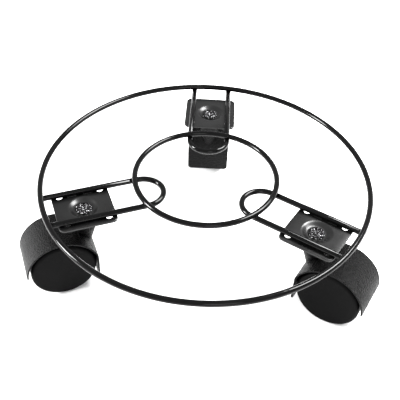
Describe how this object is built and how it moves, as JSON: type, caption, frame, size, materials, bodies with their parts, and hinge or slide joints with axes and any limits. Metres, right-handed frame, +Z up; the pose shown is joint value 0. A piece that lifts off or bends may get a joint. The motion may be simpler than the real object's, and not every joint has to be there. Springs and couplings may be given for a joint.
{
  "type": "plant pot caddy",
  "caption": "Round welded-wire pot stand on swivelling hooded twin-wheel casters; rolls a plant pot about the floor.",
  "frame": {"origin": "on the floor, under the centre of the two rings", "axes": "+Z up; +X and +Y level, with +Y pointing near enough along the back spoke"},
  "size_m": [0.2802, 0.2747, 0.0786],
  "materials": {
    "black_wire": "gloss black powder coat on steel wire",
    "black_plate": "semi-gloss black coat on stamped steel",
    "rivet_steel": "blackened steel, bright on the edges of the formed head",
    "spring_steel": "oiled spring steel",
    "axle_steel": "drawn steel",
    "washer_nylon": "natural nylon",
    "hood_plastic": "fine-grained black nylon",
    "wheel_plastic": "smooth matt black nylon"
  },
  "bodies": {
    "frame": {"inner_ring": "black_wire", "kingpin_back": "rivet_steel", "kingpin_left": "rivet_steel", "kingpin_right": "rivet_steel", "outer_ring": "black_wire", "plate_welds": "black_wire", "ring_welds": "black_wire", "snap_ring_back": "spring_steel", "snap_ring_left": "spring_steel", "snap_ring_right": "spring_steel", "spoke_back": "black_wire", "spoke_left": "black_wire", "spoke_right": "black_wire", "swivel_washer_back": "washer_nylon", "swivel_washer_left": "washer_nylon", "swivel_washer_right": "washer_nylon", "top_plate_back": "black_plate", "top_plate_left": "black_plate", "top_plate_right": "black_plate"},
    "swivel_back": {"axle_back": "axle_steel", "hood_back": "hood_plastic"},
    "roller_back_a": {"wheel_back_a": "wheel_plastic"},
    "roller_back_b": {"wheel_back_b": "wheel_plastic"},
    "swivel_left": {"axle_left": "axle_steel", "hood_left": "hood_plastic"},
    "roller_left_a": {"wheel_left_a": "wheel_plastic"},
    "roller_left_b": {"wheel_left_b": "wheel_plastic"},
    "swivel_right": {"axle_right": "axle_steel", "hood_right": "hood_plastic"},
    "roller_right_a": {"wheel_right_a": "wheel_plastic"},
    "roller_right_b": {"wheel_right_b": "wheel_plastic"}
  },
  "joints": [
    {"name": "swivel_turn_back", "type": "hinge", "parent": "frame", "child": "swivel_back", "pos_m": [0.00182, 0.09458, 0.0705], "axis": [0, 0, 1], "continuous": true},
    {"name": "wheel_spin_back_a", "type": "hinge", "parent": "swivel_back", "child": "roller_back_a", "pos_m": [0.00182, 0.11708, 0.025], "axis": [-1, 0, 0], "continuous": true},
    {"name": "wheel_spin_back_b", "type": "hinge", "parent": "swivel_back", "child": "roller_back_b", "pos_m": [0.00182, 0.11708, 0.025], "axis": [-1, 0, 0], "continuous": true},
    {"name": "swivel_turn_left", "type": "hinge", "parent": "frame", "child": "swivel_left", "pos_m": [-0.09044, -0.03508, 0.0705], "axis": [0, 0, 1], "continuous": true},
    {"name": "wheel_spin_left_a", "type": "hinge", "parent": "swivel_left", "child": "roller_left_a", "pos_m": [-0.1113, -0.04351, 0.025], "axis": [0.3746, -0.9272, 0], "continuous": true},
    {"name": "wheel_spin_left_b", "type": "hinge", "parent": "swivel_left", "child": "roller_left_b", "pos_m": [-0.1113, -0.04351, 0.025], "axis": [0.3746, -0.9272, 0], "continuous": true},
    {"name": "swivel_turn_right", "type": "hinge", "parent": "frame", "child": "swivel_right", "pos_m": [0.08262, -0.05083, 0.0705], "axis": [0, 0, 1], "continuous": true},
    {"name": "wheel_spin_right_a", "type": "hinge", "parent": "swivel_right", "child": "roller_right_a", "pos_m": [0.1021, -0.06208, 0.025], "axis": [0.5, 0.866, 0], "continuous": true},
    {"name": "wheel_spin_right_b", "type": "hinge", "parent": "swivel_right", "child": "roller_right_b", "pos_m": [0.1021, -0.06208, 0.025], "axis": [0.5, 0.866, 0], "continuous": true}
  ]
}
